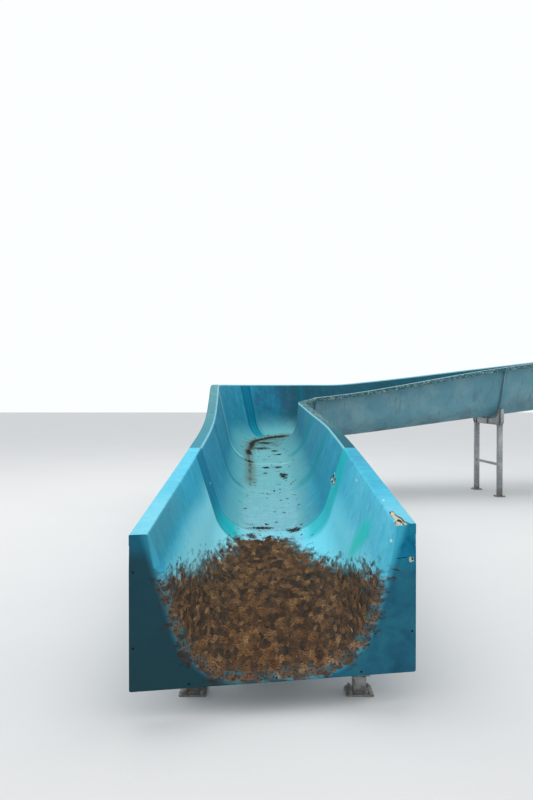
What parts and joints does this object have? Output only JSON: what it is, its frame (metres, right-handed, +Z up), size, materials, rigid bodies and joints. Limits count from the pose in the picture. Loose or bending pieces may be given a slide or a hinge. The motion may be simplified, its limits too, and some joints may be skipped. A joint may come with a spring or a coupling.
{
  "type": "water slide flume run-out",
  "caption": "Run-out of an open moulded water slide: a deep lipped trough in bolted sections, straight at the exit, then bending right and uphill, on cradles and posts.",
  "frame": {"origin": "on the ground, under the middle of the whole run's box", "axes": "+Z up; the exit end faces -Y and the run climbs along +Y, then bends right towards +X"},
  "size_m": [9.1072, 11.9766, 2.895],
  "materials": {
    "moulded_fibreglass": "faded blue gelcoat, chalky on top and stained on the floor",
    "galvanised_steel": "dull hot-dip galvanised, weathered"
  },
  "bodies": {
    "root": {"exit_section": "moulded_fibreglass", "section_2": "moulded_fibreglass", "section_3": "moulded_fibreglass", "bend_section_4": "moulded_fibreglass", "bend_section_5": "moulded_fibreglass", "section_6": "moulded_fibreglass", "section_7": "moulded_fibreglass", "cradle_1": "galvanised_steel", "post_1_left": "galvanised_steel", "post_1_right": "galvanised_steel", "cradle_2": "galvanised_steel", "post_2_left": "galvanised_steel", "post_2_right": "galvanised_steel", "cradle_3": "galvanised_steel", "post_3_left": "galvanised_steel", "post_3_right": "galvanised_steel", "cradle_4": "galvanised_steel", "post_4_left": "galvanised_steel", "post_4_right": "galvanised_steel", "cradle_5": "galvanised_steel", "post_5_left": "galvanised_steel", "post_5_right": "galvanised_steel", "cradle_6": "galvanised_steel", "post_6_left": "galvanised_steel", "post_6_right": "galvanised_steel", "cradle_7": "galvanised_steel", "post_7_left": "galvanised_steel", "post_7_right": "galvanised_steel", "cradle_8": "galvanised_steel", "post_8_left": "galvanised_steel", "post_8_right": "galvanised_steel", "tie_4": "galvanised_steel", "tie_5": "galvanised_steel", "tie_6": "galvanised_steel", "tie_7": "galvanised_steel", "tie_8": "galvanised_steel"}
  },
  "joints": []
}
